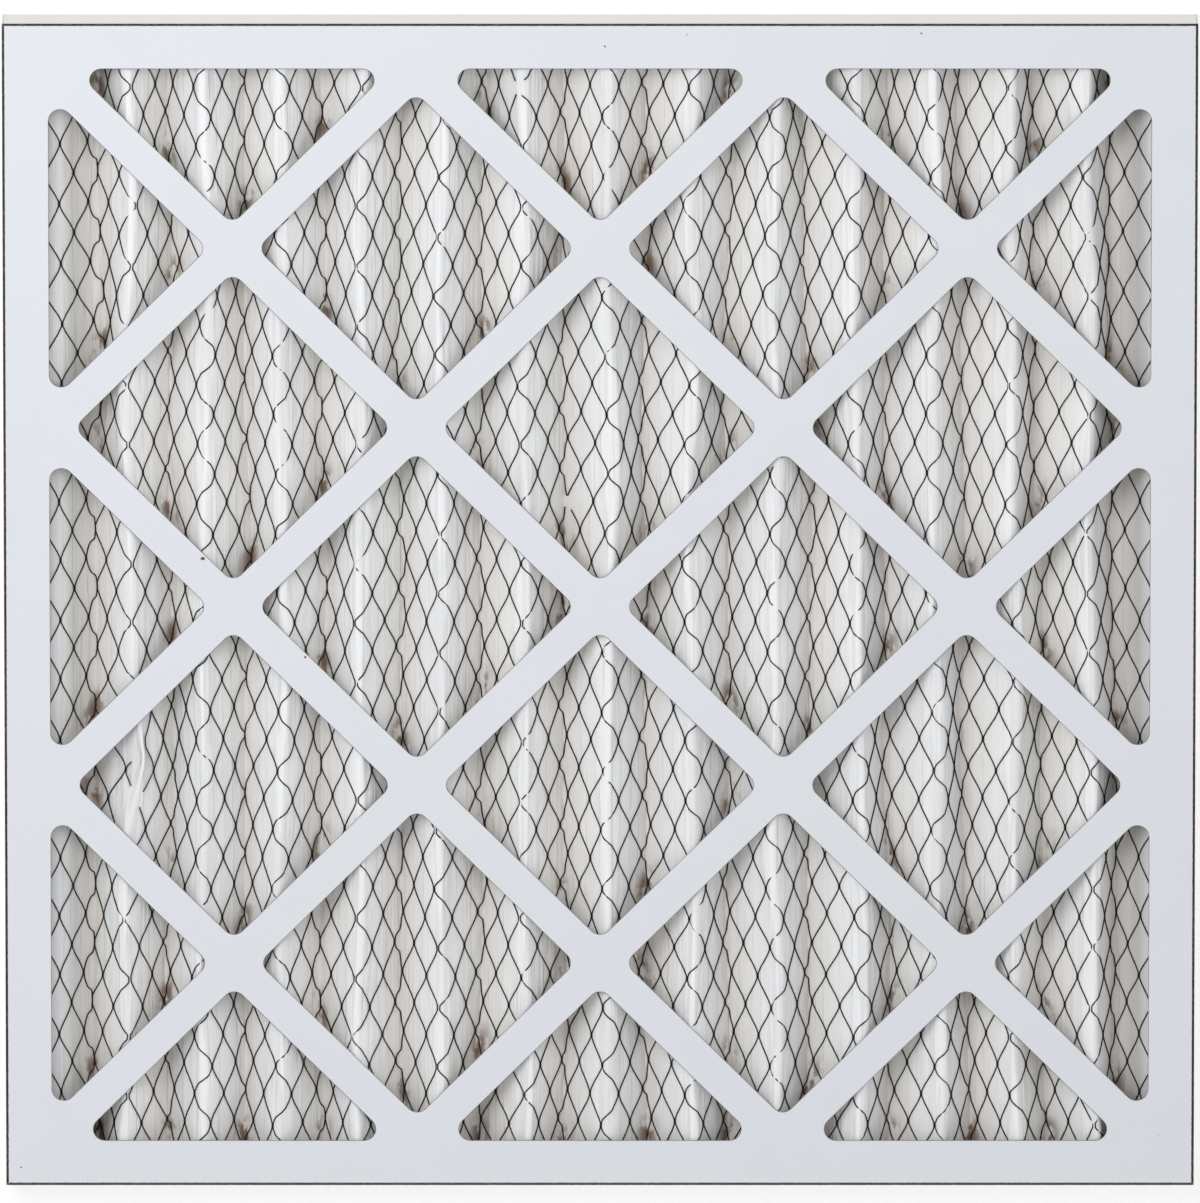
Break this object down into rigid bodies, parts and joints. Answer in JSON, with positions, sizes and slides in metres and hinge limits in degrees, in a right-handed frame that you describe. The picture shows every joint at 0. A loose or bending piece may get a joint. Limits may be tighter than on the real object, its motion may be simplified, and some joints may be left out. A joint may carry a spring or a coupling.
{
  "type": "pleated panel air filter",
  "caption": "Square pleated panel air filter: zigzag media backed by expanded metal, held between nested board trays whose faces are cut as a diamond lattice.",
  "frame": {"origin": "middle of the air-entering face, which lies on the ground", "axes": "+Z out of the air-leaving face, +Y along the pleats towards the top edge, +X across the pleats"},
  "size_m": [0.4952, 0.4952, 0.0191],
  "materials": {
    "coated_board": "white clay coating, matte, brown raw edges",
    "nonwoven_media": "lofted nonwoven, off-white",
    "expanded_metal": "fine galvanised expanded metal, dull",
    "adhesive": "dried white glue"
  },
  "bodies": {
    "root": {"front_tray": "coated_board", "rear_tray": "coated_board", "pleated_media": "nonwoven_media", "support_mesh": "expanded_metal", "adhesive_left": "adhesive", "adhesive_right": "adhesive", "adhesive_top": "adhesive", "adhesive_bottom": "adhesive"}
  },
  "joints": []
}
